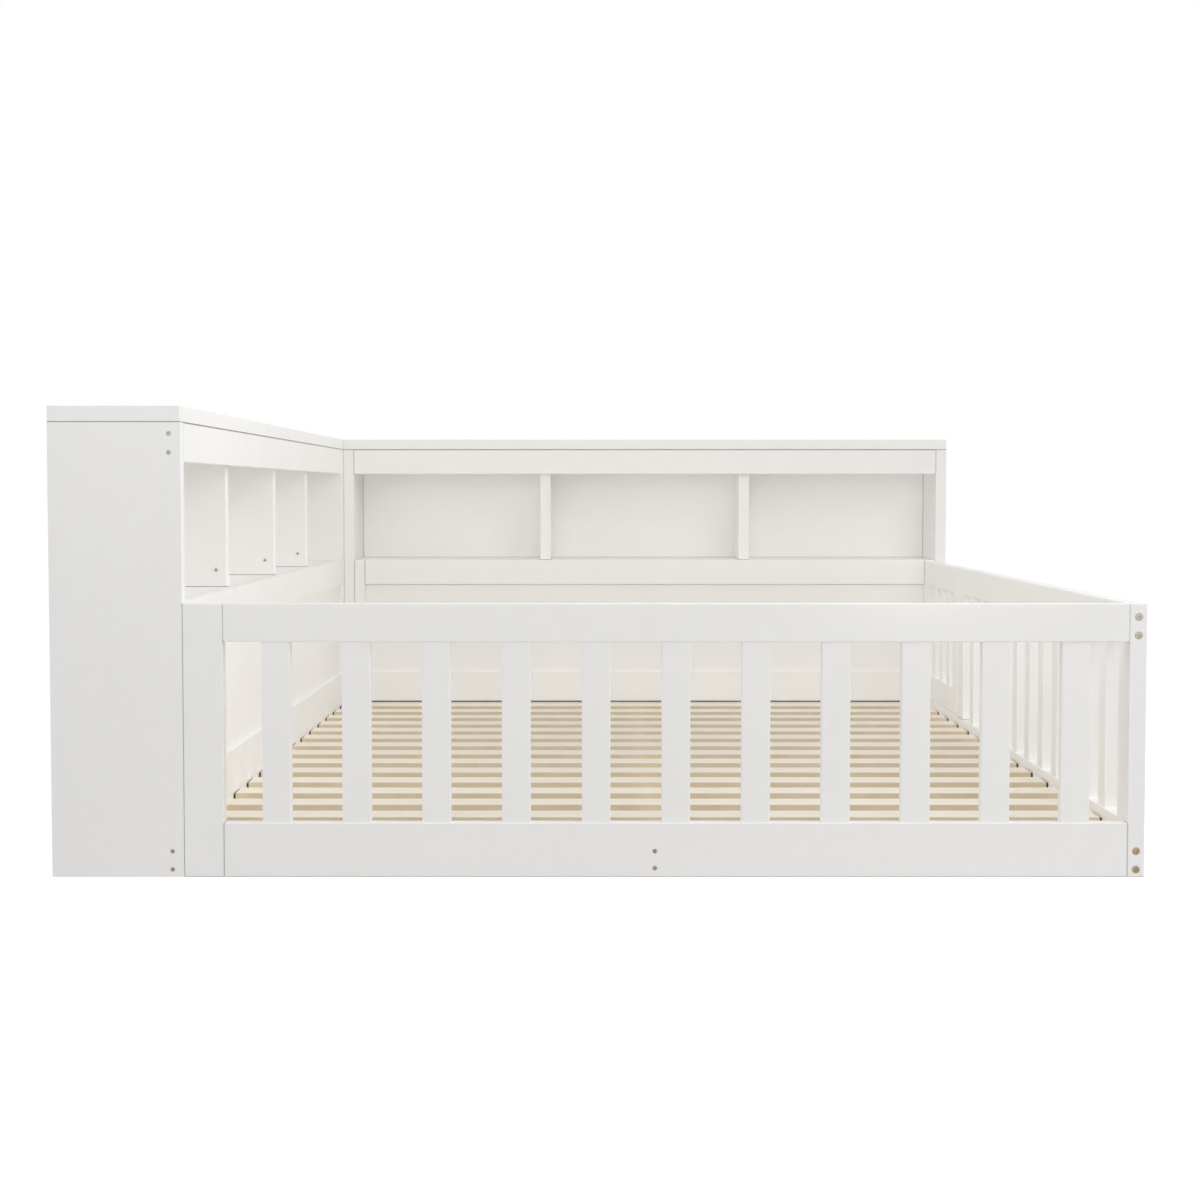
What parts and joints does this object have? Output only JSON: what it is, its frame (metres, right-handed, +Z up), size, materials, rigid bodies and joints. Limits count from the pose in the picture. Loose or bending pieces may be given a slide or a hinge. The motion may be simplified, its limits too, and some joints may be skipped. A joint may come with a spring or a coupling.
{
  "type": "daybed with storage",
  "caption": "Low white floor daybed: slatted deck, open-cubby storage cases along the left side and back, baluster railings in front and at the right, and a small swinging gate.",
  "frame": {"origin": "on the floor under the middle of the bounding box", "axes": "+X to the railing side with the gate, +Y from the low front railing to the back case, +Z up"},
  "size_m": [1.637, 2.149, 0.694],
  "materials": {
    "painted_board": "white painted, satin",
    "thin_panel": "white painted thin board, satin",
    "slat_wood": "pale softwood, planed, thin whitish stain on top",
    "hinge_steel": "satin"
  },
  "bodies": {
    "bed": {"side_case_front_panel": "painted_board", "side_case_rear_panel": "painted_board", "side_case_top": "painted_board", "side_case_fascia": "painted_board", "side_case_shelf": "painted_board", "side_case_divider_1": "painted_board", "side_case_divider_2": "painted_board", "side_case_divider_3": "painted_board", "side_case_apron": "painted_board", "side_case_base_rail": "painted_board", "back_case_left_panel": "painted_board", "back_case_partition": "painted_board", "back_case_right_panel": "painted_board", "back_case_top": "painted_board", "back_case_fascia": "painted_board", "back_case_shelf": "painted_board", "back_case_divider_1": "painted_board", "back_case_divider_2": "painted_board", "back_case_left_stile": "painted_board", "back_case_right_stile": "painted_board", "back_case_apron": "painted_board", "back_case_base_rail": "painted_board", "front_railing_post": "painted_board", "front_railing_balusters": "painted_board", "front_bed_rail": "painted_board", "side_railing_corner_post": "painted_board", "side_railing_balusters": "painted_board", "side_bed_rail": "painted_board", "gate_post": "painted_board", "side_case_infill_panel": "thin_panel", "side_case_back_panel": "thin_panel", "back_case_infill_panel": "thin_panel", "back_case_back_panel": "thin_panel", "deck_ledger_left": "slat_wood", "deck_ledger_right": "slat_wood", "deck_centre_beam": "slat_wood", "deck_slat_01": "slat_wood", "deck_slat_02": "slat_wood", "deck_slat_03": "slat_wood", "deck_slat_04": "slat_wood", "deck_slat_05": "slat_wood", "deck_slat_06": "slat_wood", "deck_slat_07": "slat_wood", "deck_slat_08": "slat_wood", "deck_slat_09": "slat_wood", "deck_slat_10": "slat_wood", "deck_slat_11": "slat_wood", "deck_slat_12": "slat_wood", "deck_slat_13": "slat_wood", "deck_slat_14": "slat_wood", "deck_slat_15": "slat_wood", "deck_end_batten": "slat_wood", "hinge_lower_post_leaf": "hinge_steel", "hinge_upper_post_leaf": "hinge_steel"},
    "gate": {"gate_hinge_stile": "painted_board", "gate_free_stile": "painted_board", "gate_balusters": "painted_board", "gate_bottom_rail": "painted_board", "hinge_lower_gate_leaf": "hinge_steel", "hinge_upper_gate_leaf": "hinge_steel"}
  },
  "joints": [
    {"name": "gate_hinge", "type": "hinge", "parent": "bed", "child": "gate", "pos_m": [0.7985, 0.412, 0], "axis": [0, 0, -1], "range_deg": [0, 170]}
  ]
}
